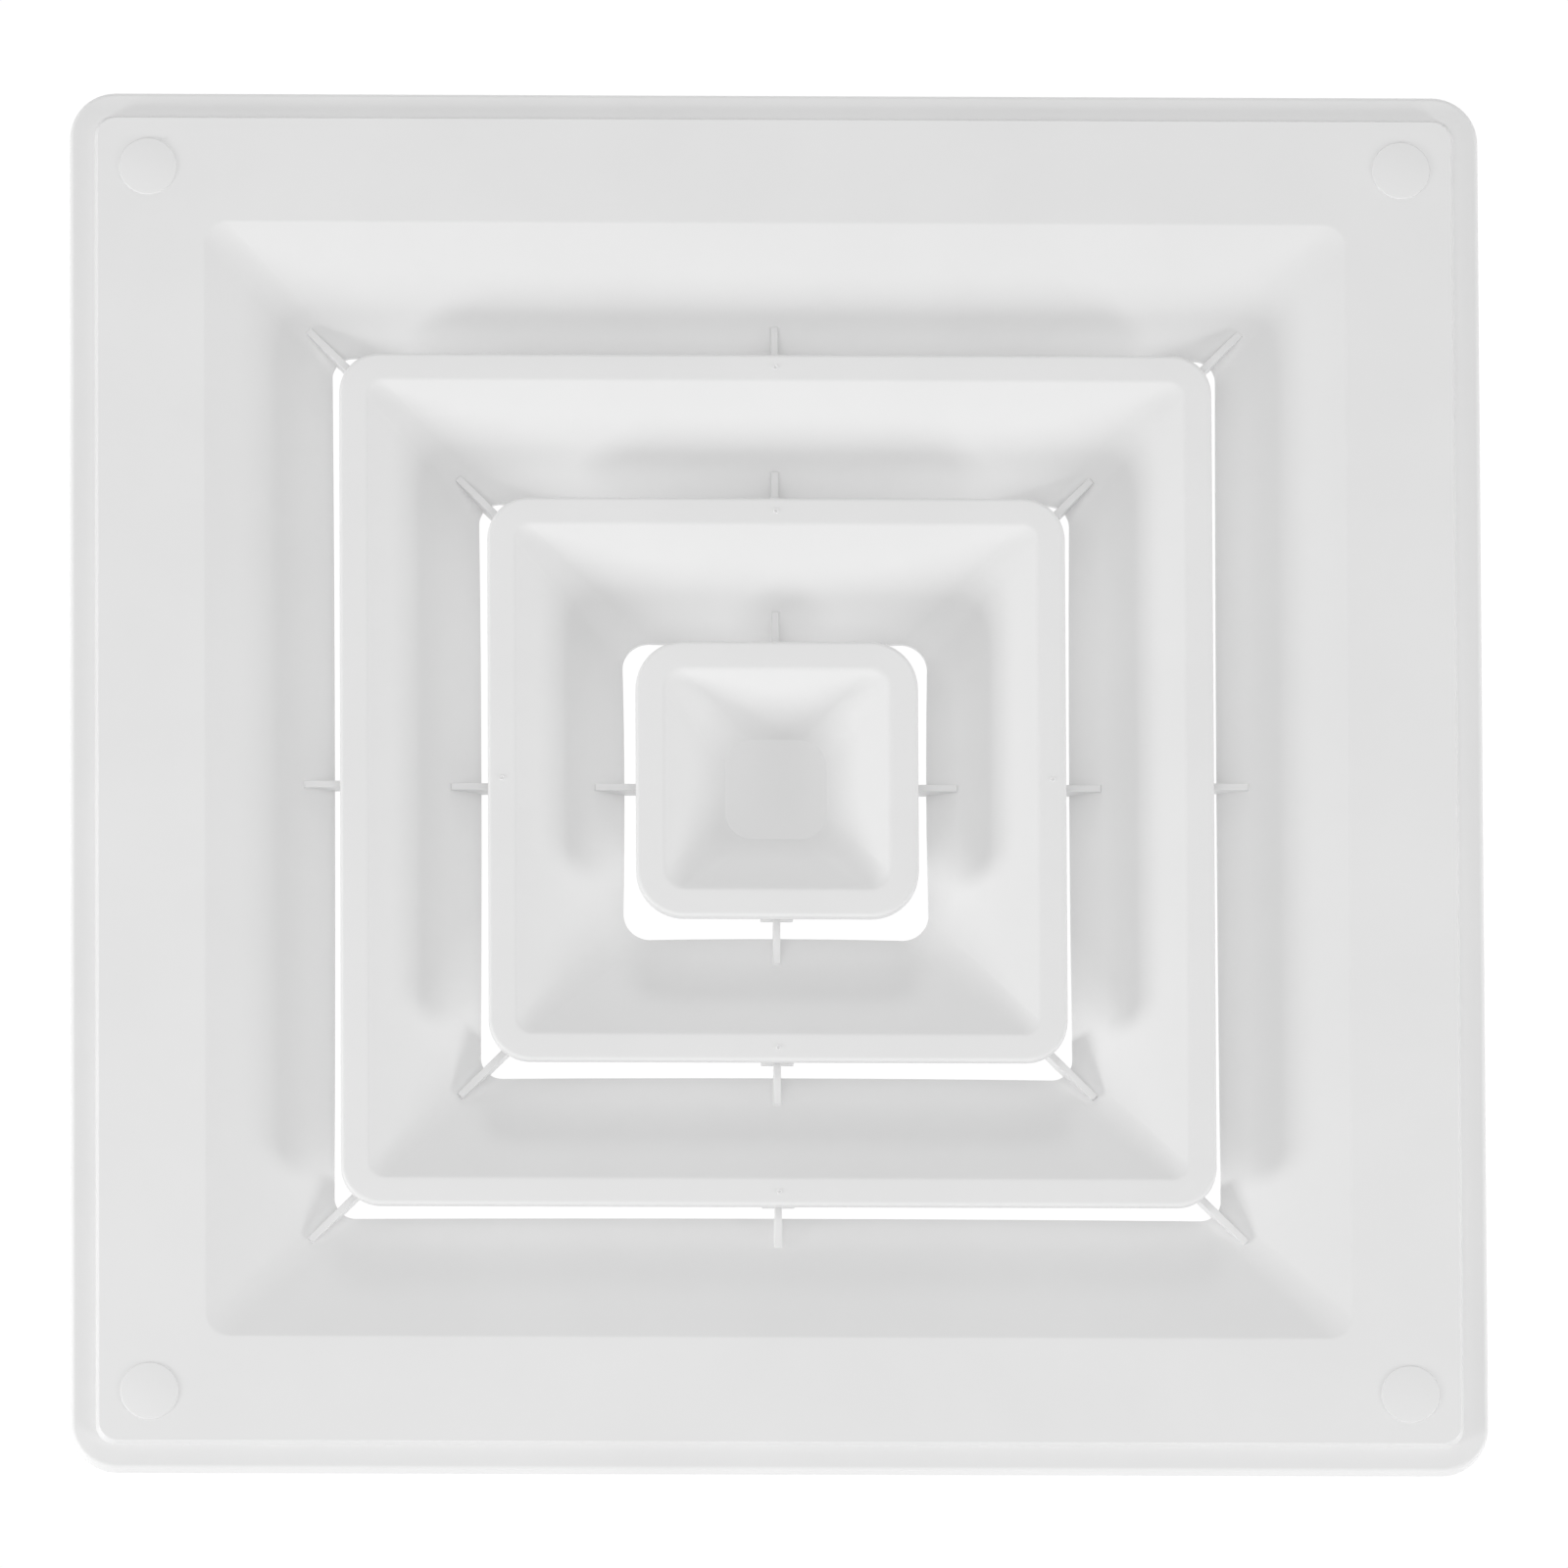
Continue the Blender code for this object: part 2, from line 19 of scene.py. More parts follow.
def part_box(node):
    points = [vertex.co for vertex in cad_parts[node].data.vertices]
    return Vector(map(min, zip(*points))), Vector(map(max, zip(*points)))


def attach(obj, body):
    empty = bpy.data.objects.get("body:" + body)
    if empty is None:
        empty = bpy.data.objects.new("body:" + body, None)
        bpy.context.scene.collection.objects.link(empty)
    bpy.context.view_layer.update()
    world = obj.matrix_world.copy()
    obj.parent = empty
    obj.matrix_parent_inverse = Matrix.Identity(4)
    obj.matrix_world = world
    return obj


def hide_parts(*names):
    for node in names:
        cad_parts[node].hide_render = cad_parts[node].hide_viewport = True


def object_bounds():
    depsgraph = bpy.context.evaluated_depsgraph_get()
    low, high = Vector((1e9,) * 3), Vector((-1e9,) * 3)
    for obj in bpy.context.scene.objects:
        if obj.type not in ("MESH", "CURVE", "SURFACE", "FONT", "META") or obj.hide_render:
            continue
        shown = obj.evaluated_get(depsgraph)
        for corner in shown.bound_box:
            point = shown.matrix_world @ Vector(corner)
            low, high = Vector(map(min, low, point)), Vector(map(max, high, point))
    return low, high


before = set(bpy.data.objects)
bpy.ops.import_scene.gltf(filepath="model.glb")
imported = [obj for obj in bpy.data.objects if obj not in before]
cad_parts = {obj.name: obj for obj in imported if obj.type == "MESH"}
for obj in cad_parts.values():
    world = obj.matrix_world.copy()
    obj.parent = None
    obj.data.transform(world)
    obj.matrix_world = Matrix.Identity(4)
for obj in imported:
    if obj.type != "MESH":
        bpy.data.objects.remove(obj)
cad_low, cad_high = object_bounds()


def half_width(node):
    """How far a node that is centred on the origin reaches to +X."""
    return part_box(node)[1].x


def top_depth(node):
    """How deep the highest point of a node lies."""
    return cad_high.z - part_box(node)[1].z


# ---- sizes shared with the CAD frame -------------------------------------------------------------

SIDES = 4
STAND_HEIGHT = cad_high.z
FACE_DEPTH = top_depth("frame")
FACE_HALF = half_width("frame")

# Frame
FACE_CORNER = 0.010
LIP_WIDTH = 0.0053
LIP_STEP = 0.0016
STEP_RUN = 0.0005
STEP_CORNER = 0.0040
WALL = 0.0020
EDGE_HEIGHT = 0.0045
CEILING_DEPTH = FACE_DEPTH + LIP_STEP + EDGE_HEIGHT
FUNNEL_HALF = 0.1215
FUNNEL_CORNER = 0.0050
FRAME_OPENING = 0.0940
OPENING_CORNER = 0.0045
FRAME_DEPTH = 0.0092
COLLAR_HALF = 0.1040
COLLAR_CORNER = 0.0070
STIFFENER_PLACES = (-0.070, 0.0, 0.070)
STIFFENER_END = 0.1255

# Louvres
LOUVRE_WALL = 0.0018
LIP_WALL = 0.0016
# The lip is how far the outer edge turns back, and the drop is from the rim to the opening. The
# rim and the opening are half widths.
Louvre = namedtuple("Louvre", "node corner lip rim rim_corner opening opening_corner drop")
OUTER = Louvre("outer_louvre", 0.0085, 0.0026, 0.0870, 0.0035, 0.0628, 0.0045, 0.0121)
MIDDLE = Louvre("middle_louvre", 0.0090, 0.0026, 0.0556, 0.0032, 0.0324, 0.0056, 0.0124)
CONE = Louvre("centre_cone", 0.0102, 0.0033, 0.0239, 0.0042, 0.01085, 0.0058, 0.0102)

# Ribs, pads and bosses
RIB_THICKNESS = 0.0015
CLEARANCE = 0.0003
RIB_RISE = 0.0008
# How far from the centre the ribs end. A funnel without corner ribs has None for theirs.
RibSet = namedtuple("RibSet", "side_outer corner_outer corner_inner")
FRAME_RIBS = RibSet(0.1002, 0.1403, 0.1255)
OUTER_RIBS = RibSet(0.0690, 0.0953, 0.0805)
MIDDLE_RIBS = RibSet(0.0384, None, None)
PAD_WIDTH = 0.0070
PAD_THICKNESS = 0.0020
PAD_SETBACK = 0.0010
PAD_LENGTH = 0.0054
BOSS_RADIUS = 0.0024
PILOT_DEPTH = 0.0031

# Screws, caps and foam
SMALL_SHANK = 0.00095
SMALL_HEAD = 0.0020
SMALL_HEAD_HEIGHT = 0.0014
SMALL_LENGTH = 0.0053
SMALL_TIP = 0.0008
FIXING_SPACING = 0.267
CAP_RADIUS = 0.0062
CAP_BORE = 0.0050
CAP_FACE = 0.0012
CAP_HEIGHT = 0.0032
POCKET_FLOOR = CEILING_DEPTH - WALL
FIXING_BOSS = 0.0083
FIXING_HOLE = 0.0024
FIXING_SHANK = 0.0019
FIXING_HEAD = 0.0038
FIXING_HEAD_HEIGHT = 0.0021
FIXING_LENGTH = 0.0250
FIXING_TIP = 0.0040
FOAM_INNER = 0.1280
FOAM_OUTER = 0.1400
FOAM_HALF_LENGTH = 0.1225
FOAM_PROUD = 0.0005

# ---- sizes of the fine surface -------------------------------------------------------------------

CORNER_STEPS = 14           # facets in each rounded corner of a moulding
SIDE_STEPS = 8              # facets along each side, so that it can bow
FILLET_STEPS = 4            # facets in each fillet
FILLET_REACH = 0.45         # of the shorter leg beside it, the most that a fillet takes up
BEVEL_STEPS = 2
MERGE_DISTANCE = 1e-8       # between points on the axis of a turned solid
SINK = 0.0004               # how far a feature is sunk into the wall that it grows from
SHARP_ANGLE = math.radians(32.0)

FINE = 0.00025              # fillets of cut-off edges
LIP_ROUND = 0.0009          # of the frame's outermost edge
STEP_ROUND = 0.0002         # of the step between the border and the lip
RIM_ROUND = 0.0020          # where a flat rim turns down into its slope
RIM_EDGE = 0.0008           # of a louvre's outer edge
ROOT_ROUND = 0.0008         # inside corners
DISH_ROUND = 0.0006         # round the flat floor of the cone
BOW = 0.0003                # how far the edges of the openings bow in at the middle of each side
RIB_EDGE = 0.00018
RIB_LEAN = 0.0002           # the outer end of a rib leans in by this much
RIB_FOOT = 0.0003           # chamfer where a rib meets its slope
POCKET_GAP = 0.00001        # between a cap and the edge of its pocket
POCKET_RADIUS = CAP_RADIUS + POCKET_GAP
CAP_EDGE = 0.00025          # of the round face of a cap
BEAD = 0.00015              # the cap's snap bead stands out by this much
STUB_LENGTH = 0.0007        # of the sprue left on the edge of one cap
STUB_WIDTH = 0.0008
STUB_ANGLE = math.radians(60.0)
FIXING_SIDES = 64           # facets round the bosses of the fixing screws
CAP_SIDES = 96              # round the caps and their pockets
HEAD_SIDES = 48             # round the screw heads
BOSS_SIDES = 40             # round the small screws' bosses
THREAD_SIDES = 28           # round the threads
SMALL_SIDES = 24            # round the small holes and the gate marks
GATE_RADIUS = 0.0007
GATE_PROUD = 0.0002         # how far the crest of a gate mark stands out of the rim
OUTER_GATES = (1, 3)        # the sides with a gate mark: 0 is +X, 1 is +Y, and so on round
MIDDLE_GATES = (0, 1, 2, 3)

# The heads, threads and recesses of the screws
SMALL_PITCH = 0.0007
FIXING_PITCH = 0.0014
CROWN_SHARE = 0.72          # of the head's radius, where its top turns down
CROWN_ROUND = 0.35          # of the head's radius
SHOULDER_SHARE = 0.40       # of the head's height, where its side begins
SHOULDER_ROUND = 0.30       # of the head's radius
UNDER_ROUND = 0.06          # of the head's radius
ROD_SINK = 0.2              # of the head's height, how far the rod starts inside it
ROWS_A_TURN = 8             # rows of points in each turn of a thread
RIDGE_SLOPE = 1.6           # how steeply a ridge falls off: above 1 it leaves a flat root
POINT_SHARE = 0.1           # of the radius, left at the tip of a screw
ROOT_SHARE = 0.72           # of the crest radius
RECESS_REACH = 0.52         # of the head's radius
RECESS_WIDTH = 0.11         # of the head's radius
RECESS_DEPTH = 0.62         # of the head's height
RECESS_TOP = 1.3            # of the recess's reach, just above the head
RECESS_FLOOR = 0.45         # of the recess's reach

# The cut surface of the foam
FOAM_CUTS = (8, 160, 4)     # rows of faces across, along and through a strip
FOAM_ROUGHNESS = 0.00012
FOAM_NOISE = 900.0          # bumps in each metre


def height(depth):
    return STAND_HEIGHT - depth


# ---- mesh helpers --------------------------------------------------------------------------------

def mesh_object(name, bm, smooth=True):
    """An object at the origin from bm, with its faces pointing out of the solid. It frees bm."""
    bmesh.ops.recalc_face_normals(bm, faces=bm.faces)
    mesh = bpy.data.meshes.new(name)
    bm.to_mesh(mesh)
    bm.free()
    made = bpy.data.objects.new(name, mesh)
    bpy.context.scene.collection.objects.link(made)
    if smooth:
        shade(made)
    return made


def shade(made):
    made.data.shade_smooth()
    made.data.set_sharp_from_angle(angle=SHARP_ANGLE)


def combine(target, tools, operation):
    """Adds a group of solids to target, or cuts them from it, and removes them."""
    group = bpy.data.collections.new(f"{target.name}_{operation.lower()}")
    bpy.context.scene.collection.children.link(group)
    for tool in tools:
        group.objects.link(tool)
    boolean = target.modifiers.new("combine", "BOOLEAN")
    boolean.operation = operation
    boolean.operand_type = "COLLECTION"
    boolean.collection = group
    boolean.solver = "EXACT"
    apply_modifiers(target)
    for tool in tools:
        bpy.data.objects.remove(tool, do_unlink=True)
    bpy.data.collections.remove(group)


def apply_modifiers(target):
    bpy.context.view_layer.update()
    evaluated = target.evaluated_get(bpy.context.evaluated_depsgraph_get())
    final = bpy.data.meshes.new_from_object(evaluated)
    target.modifiers.clear()
    target.data = final


def even_normals(made):
    """Shading normals that keep the flat faces flat between their fillets."""
    shade(made)
    weighted = made.modifiers.new("even_normals", "WEIGHTED_NORMAL")
    weighted.keep_sharp = True


def placed_copies(original, places):
    """Copies of an object that share its mesh, one for each (name, matrix) of places."""
    made = []
    for name, matrix in places:
        copy = bpy.data.objects.new(name, original.data)
        copy.matrix_world = matrix
        bpy.context.scene.collection.objects.link(copy)
        made.append(copy)
    bpy.data.objects.remove(original, do_unlink=True)
    return made


def around(count, offset=0.0):
    """Angles of count equal turns about Z."""
    return [offset + i * math.tau / count for i in range(count)]


def turned_places(name, distance=0.0, offset=0.0):
    """A place on each side, this far out from the centre."""
    out = Matrix.Translation((distance, 0.0, 0.0))
    return [
        (f"{name}_{number}", Matrix.Rotation(angle, 4, "Z") @ out)
        for number, angle in enumerate(around(SIDES, offset), 1)
    ]


def corner_places(name):
    reach = FIXING_SPACING / 2
    corners = ((reach, reach), (-reach, reach), (-reach, -reach), (reach, -reach))
    return [
        (f"{name}_{number}", Matrix.Translation((x, y, 0.0)))
        for number, (x, y) in enumerate(corners, 1)
    ]


# A point of a section: how far out and how deep it lies, the fillet there, and the corner radius
# and the bow of the rounded square that goes round through it.
Bend = namedtuple("Bend", "across depth fillet corner bow", defaults=(0.0, 0.0, 0.0))


def rounded(bends, closed=True):
    """The path through the bends as (across, depth, corner, bow), with an arc for each fillet."""
    path = []
    for i, bend in enumerate(bends):
        here = Vector((bend.across, bend.depth))
        carried = Vector((bend.corner, bend.bow))
        ends = i in (0, len(bends) - 1)
        if bend.fillet == 0.0 or (ends and not closed):
            path.append((*here, *carried))
            continue
        legs = []
        for other in (bends[i - 1], bends[(i + 1) % len(bends)]):
            leg = Vector((other.across, other.depth)) - here
            legs.append((leg.normalized(), leg.length, Vector((other.corner, other.bow)) - carried))
        inner_angle = legs[0][0].angle(legs[1][0])
        trim = min(
            bend.fillet / math.tan(inner_angle / 2),
            FILLET_REACH * legs[0][1],
            FILLET_REACH * legs[1][1],
        )
        fillet = trim * math.tan(inner_angle / 2)
        halfway = (legs[0][0] + legs[1][0]).normalized()
        centre = here + halfway * (fillet / math.sin(inner_angle / 2))
        start, end = (
            (here + way * trim, carried + change * (trim / length)) for way, length, change in legs
        )
        turn = math.pi - inner_angle
        for step in range(FILLET_STEPS + 1):
            share = step / FILLET_STEPS
            first = math.sin((1 - share) * turn) / math.sin(turn)
            last = math.sin(share * turn) / math.sin(turn)
            point = centre + (start[0] - centre) * first + (end[0] - centre) * last
            path.append((*point, *start[1].lerp(end[1], share)))
    return path


def rounded_square(half, radius, depth, bow=0.0):
    """Points round a square with rounded corners, whose sides bow in by bow at their middles."""
    reach = half - radius
    quarter = []
    for step in range(SIDE_STEPS):
        along = 2 * step / SIDE_STEPS - 1
        quarter.append(Vector((half - bow * (1 - along * along), along * reach, height(depth))))
    for step in range(CORNER_STEPS):
        angle = step / CORNER_STEPS * math.pi / 2
        across, along = reach + radius * math.cos(angle), reach + radius * math.sin(angle)
        quarter.append(Vector((across, along, height(depth))))
    return [Matrix.Rotation(turn, 3, "Z") @ point for turn in around(SIDES) for point in quarter]


def loft(name, loops, closed, smooth=True):
    """A solid through loops of equal length. It joins up as a ring, or its ends are capped."""
    bm = bmesh.new()
    rings = [[bm.verts.new(point) for point in loop] for loop in loops]
    pairs = list(zip(rings, rings[1:]))
    if closed:
        pairs.append((rings[-1], rings[0]))
    else:
        bm.faces.new(rings[0])
        bm.faces.new(rings[-1])
    for first, second in pairs:
        for i in range(len(first)):
            j = (i + 1) % len(first)
            bm.faces.new((first[i], first[j], second[j], second[i]))
    return mesh_object(name, bm, smooth)


def moulding(name, bends, closed=True):
    """A rounded square ring or dish with this section."""
    path = rounded(bends, closed)
    loops = [rounded_square(across, corner, depth, bow) for across, depth, corner, bow in path]
    return loft(name, loops, closed)


def turned(name, bends, sides):
    """A solid of revolution about Z. Its section starts and ends on the axis."""
    path = rounded(bends, closed=False)
    bm = bmesh.new()
    verts = [bm.verts.new((across, 0.0, height(depth))) for across, depth, _, _ in path]
    edges = [bm.edges.new(pair) for pair in zip(verts, verts[1:])]
    bmesh.ops.spin(
        bm, geom=verts + edges, cent=(0, 0, 0), axis=(0, 0, 1), angle=math.tau, steps=sides,
        use_merge=True,
    )
    bmesh.ops.remove_doubles(bm, verts=bm.verts, dist=MERGE_DISTANCE)
    return mesh_object(name, bm)


def rod(name, radius, start, end, sides):
    bends = [Bend(0.0, start), Bend(radius, start), Bend(radius, end), Bend(0.0, end)]
    return turned(name, bends, sides)


def bevelled(bm, width):
    """Rounds all the edges of a solid."""
    bmesh.ops.bevel(
        bm, geom=list(bm.edges), offset=width, segments=BEVEL_STEPS, profile=0.5, affect="EDGES",
        clamp_overlap=True,
    )


def fin(name, outline, thickness):
    """A bevelled plate along the XZ plane from an outline of (x, depth) points."""
    bm = bmesh.new()
    side = bm.faces.new([bm.verts.new((x, -thickness / 2, height(depth))) for x, depth in outline])
    grown = bmesh.ops.extrude_face_region(bm, geom=[side])["geom"]
    moved = [item for item in grown if isinstance(item, bmesh.types.BMVert)]
    bmesh.ops.translate(bm, verts=moved, vec=(0.0, thickness, 0.0))
    bevelled(bm, RIB_EDGE)
    return mesh_object(name, bm)


def block(name, across, along, depths, bevel):
    """A bevelled box from its ends in X and in Y and its two depths."""
    low = Vector((across[0], along[0], height(depths[1])))
    high = Vector((across[1], along[1], height(depths[0])))
    bm = bmesh.new()
    bmesh.ops.create_cube(bm, size=1.0)
    bmesh.ops.scale(bm, verts=bm.verts, vec=high - low)
    bmesh.ops.translate(bm, verts=bm.verts, vec=(high + low) / 2)
    bevelled(bm, bevel)
    return mesh_object(name, bm)


# ---- funnels -------------------------------------------------------------------------------------

class Slope:
    """The sloping wall between a rim and an opening, along one line out from the centre."""

    def __init__(self, rim, opening, drop, wall):
        self.rim, self.opening, self.drop, self.wall = rim, opening, drop, wall
        self.run = rim - opening
        self.thickness = wall * math.hypot(1.0, drop / self.run)

    def front(self, distance):
        return FACE_DEPTH + self.drop * (self.rim - distance) / self.run

    def back(self, distance):
        return self.front(distance) + self.thickness

    def middle(self, distance):
        return self.front(distance) + self.thickness / 2

    def back_meets(self, level):
        """How far out the back of the slope is where it reaches this depth."""
        return self.rim - (level - self.thickness - FACE_DEPTH) * self.run / self.drop


def louvre_slope(louvre):
    return Slope(louvre.rim, louvre.opening, louvre.drop, LOUVRE_WALL)


def rib_level(slope, ribs):
    """The depth of the level tops of a funnel's ribs."""
    return slope.front(ribs.side_outer) - RIB_RISE


FRAME_SLOPE = Slope(FUNNEL_HALF, FRAME_OPENING, FRAME_DEPTH, WALL)
FRAME_LEVEL = rib_level(FRAME_SLOPE, FRAME_RIBS)
OUTER_LEVEL = rib_level(louvre_slope(OUTER), OUTER_RIBS)
MIDDLE_LEVEL = rib_level(louvre_slope(MIDDLE), MIDDLE_RIBS)


def diagonal(half, corner):
    """How far the rounded corner of a square lies from its centre."""
    return (half - corner) * math.sqrt(2) + corner


def frame_bends():
    slope = FRAME_SLOPE
    lip = FACE_DEPTH + LIP_STEP
    step = FACE_HALF - LIP_WIDTH
    border_back = FACE_DEPTH + WALL
    collar_inside = COLLAR_HALF - WALL
    edge_inside = FACE_HALF - WALL
    return [
        Bend(FACE_HALF, CEILING_DEPTH, FINE, FACE_CORNER),
        Bend(FACE_HALF, lip, LIP_ROUND, FACE_CORNER),
        Bend(step, lip, FINE, STEP_CORNER),
        Bend(step - STEP_RUN, FACE_DEPTH, STEP_ROUND, STEP_CORNER),
        Bend(FUNNEL_HALF, FACE_DEPTH, RIM_ROUND, FUNNEL_CORNER),
        Bend(FRAME_OPENING, slope.front(FRAME_OPENING), FINE, OPENING_CORNER, BOW),
        Bend(FRAME_OPENING, slope.back(FRAME_OPENING), FINE, OPENING_CORNER, BOW),
        Bend(collar_inside, slope.back(collar_inside), ROOT_ROUND, COLLAR_CORNER - WALL),
        Bend(collar_inside, STAND_HEIGHT, FINE, COLLAR_CORNER - WALL),
        Bend(COLLAR_HALF, STAND_HEIGHT, FINE, COLLAR_CORNER),
        Bend(COLLAR_HALF, slope.back(COLLAR_HALF), ROOT_ROUND, COLLAR_CORNER),
        Bend(slope.back_meets(border_back), border_back, ROOT_ROUND, FUNNEL_CORNER),
        Bend(step - STEP_RUN - WALL / 2, border_back, FINE, STEP_CORNER),
        Bend(step - WALL / 2, lip + WALL, FINE, STEP_CORNER),
        Bend(edge_inside, lip + WALL, STEP_ROUND, FACE_CORNER - WALL),
        Bend(edge_inside, CEILING_DEPTH, FINE, FACE_CORNER - WALL),
    ]


def louvre_bends(louvre):
    slope = louvre_slope(louvre)
    half = half_width(louvre.node)
    lip_end = FACE_DEPTH + louvre.lip
    rim_back = FACE_DEPTH + LOUVRE_WALL
    inside = half - LIP_WALL
    inside_corner = louvre.corner - LIP_WALL
    return [
        Bend(half, lip_end, FINE, louvre.corner),
        Bend(half, FACE_DEPTH, RIM_EDGE, louvre.corner),
        Bend(louvre.rim, FACE_DEPTH, RIM_ROUND, louvre.rim_corner),
        Bend(louvre.opening, slope.front(louvre.opening), FINE, louvre.opening_corner, BOW),
        Bend(louvre.opening, slope.back(louvre.opening), FINE, louvre.opening_corner, BOW),
        Bend(slope.back_meets(rim_back), rim_back, ROOT_ROUND, louvre.rim_corner),
        Bend(inside, rim_back, FINE, inside_corner),
        Bend(inside, lip_end, FINE, inside_corner),
    ]


def cone_bends(cone):
    slope = louvre_slope(cone)
    half = half_width(cone.node)
    lip_end = FACE_DEPTH + cone.lip
    rim_back = FACE_DEPTH + LOUVRE_WALL
    dish = slope.front(cone.opening)
    dish_back = dish + LOUVRE_WALL
    flat = cone.opening - cone.opening_corner / 2
    flat_corner = cone.opening_corner / 2
    inside = half - LIP_WALL
    inside_corner = cone.corner - LIP_WALL
    return [
        Bend(flat, dish, 0.0, flat_corner),
        Bend(cone.opening, dish, DISH_ROUND, cone.opening_corner),
        Bend(cone.rim, FACE_DEPTH, RIM_ROUND, cone.rim_corner),
        Bend(half, FACE_DEPTH, RIM_EDGE, cone.corner),
        Bend(half, lip_end, FINE, cone.corner),
        Bend(inside, lip_end, FINE, inside_corner),
        Bend(inside, rim_back, FINE, inside_corner),
        Bend(slope.back_meets(rim_back), rim_back, ROOT_ROUND, cone.rim_corner),
        Bend(slope.back_meets(dish_back), dish_back, DISH_ROUND, cone.opening_corner),
        Bend(flat, dish_back, 0.0, flat_corner),
    ]


# ---- ribs, pads, bosses and gate marks -----------------------------------------------------------

def pad_centre(louvre):
    """How far from the centre the screws that hold this louvre stand."""
    return half_width(louvre.node) - PAD_SETBACK - PAD_LENGTH / 2


def rib_outline(slope, level, outer, inner, foot=None):
    """A level fin from its outer end on the slope to its inner end, narrowed to a pad by foot."""
    back = slope.middle(slope.opening)
    base = outer + RIB_LEAN
    outline = [(outer, level), (base, slope.middle(base)), (slope.opening, back)]
    if foot is None:
        outline.append((inner, back))
    else:
        outline += [(inner + foot, back), (inner, level + PAD_THICKNESS - SINK)]
    return outline + [(inner, level)]


def rib_foot(name, slope, outer):
    """The chamfer along both flanks and round the outer end of a rib, where it meets the slope."""
    loops = []
    for rise in (RIB_FOOT, -SINK):
        spread = RIB_THICKNESS / 2 + RIB_FOOT - rise
        ends = (slope.opening + SINK / 4, outer + RIB_FOOT - rise)
        corners = ((ends[0], -spread), (ends[1], -spread), (ends[1], spread), (ends[0], spread))
        loops.append([Vector((x, y, height(slope.front(x) - rise))) for x, y in corners])
    return loft(name, loops, closed=False, smooth=False)


def side_ribs(owner, slope, level, outer, held):
    """The four fins across the sides of a funnel, each with a pad for the louvre that it holds."""
    end = half_width(held.node) - PAD_SETBACK
    rib = fin(f"{owner}_rib", rib_outline(slope, level, outer, end - SINK, SINK), RIB_THICKNESS)
    pad = block(
        f"{owner}_pad",
        (end - PAD_LENGTH, end),
        (-PAD_WIDTH / 2, PAD_WIDTH / 2),
        (level, level + PAD_THICKNESS),
        FINE,
    )
    made = []
    for original in (rib, pad, rib_foot(f"{owner}_foot", slope, outer)):
        made += placed_copies(original, turned_places(original.name))
    return made


def corner_ribs(owner, funnel, level, ribs):
    """The four fins along the creases of a funnel, level with its side ribs."""
    rim, rim_corner, opening, opening_corner, drop, wall = funnel
    crease = Slope(diagonal(rim, rim_corner), diagonal(opening, opening_corner), drop, wall)
    outline = rib_outline(crease, level, ribs.corner_outer, ribs.corner_inner)
    rib = fin(f"{owner}_crease", outline, RIB_THICKNESS)
    return placed_copies(rib, turned_places(f"{owner}_crease", offset=math.pi / 4))


def pad_holes(owner, level, held):
    end = level + PAD_THICKNESS + SINK
    hole = rod(f"{owner}_hole", SMALL_SHANK + CLEARANCE, level - SINK, end, SMALL_SIDES)
    return placed_copies(hole, turned_places(f"{owner}_hole", pad_centre(held)))


def bosses(louvre, level):
    """Posts behind the rim that take the small screws, and stand on pads at this depth."""
    start = FACE_DEPTH + LOUVRE_WALL - SINK
    post = rod(f"{louvre.node}_boss", BOSS_RADIUS, start, level - CLEARANCE, BOSS_SIDES)
    return placed_copies(post, turned_places(f"{louvre.node}_boss", pad_centre(louvre)))


def pilot_holes(louvre, level):
    end = level - CLEARANCE
    radius = SMALL_SHANK + CLEARANCE
    hole = rod(f"{louvre.node}_pilot", radius, end - PILOT_DEPTH, end + SINK, SMALL_SIDES)
    return placed_copies(hole, turned_places(f"{louvre.node}_pilot", pad_centre(louvre)))


def gate_marks(louvre, sides):
    """The small craters that the moulding gates leave in the middle of the rim, on these sides."""
    hollow, crest_inside, crest_outside = GATE_RADIUS * 0.25, GATE_RADIUS * 0.55, GATE_RADIUS * 0.8
    crest_fillet = GATE_RADIUS * 0.15
    crater = [
        Bend(0.0, FACE_DEPTH + GATE_PROUD / 2),
        Bend(hollow, FACE_DEPTH + GATE_PROUD / 2, GATE_RADIUS * 0.1),
        Bend(crest_inside, FACE_DEPTH - GATE_PROUD, crest_fillet),
        Bend(crest_outside, FACE_DEPTH - GATE_PROUD * 0.8, crest_fillet),
        Bend(GATE_RADIUS, FACE_DEPTH + SINK),
        Bend(0.0, FACE_DEPTH + SINK),
    ]
    mark = turned(f"{louvre.node}_gate", crater, SMALL_SIDES)
    places = turned_places(f"{louvre.node}_gate", (half_width(louvre.node) + louvre.rim) / 2)
    return placed_copies(mark, [places[side] for side in sides])


# ---- mouldings -----------------------------------------------------------------------------------

def make_frame():
    body = moulding("frame_moulding", frame_bends())
    funnel = (FUNNEL_HALF, FUNNEL_CORNER, FRAME_OPENING, OPENING_CORNER, FRAME_DEPTH, WALL)
    added = side_ribs("frame", FRAME_SLOPE, FRAME_LEVEL, FRAME_RIBS.side_outer, OUTER)
    added += corner_ribs("frame", funnel, FRAME_LEVEL, FRAME_RIBS)
    added += fixing_bosses() + stiffeners(FRAME_SLOPE)
    combine(body, added, "UNION")
    combine(body, pad_holes("frame", FRAME_LEVEL, OUTER) + fixing_pockets(), "DIFFERENCE")
    even_normals(body)
    return body


def fixing_bosses():
    post = rod("fixing_boss", FIXING_BOSS, FACE_DEPTH + WALL - SINK, CEILING_DEPTH, FIXING_SIDES)
    return placed_copies(post, corner_places("fixing_boss"))


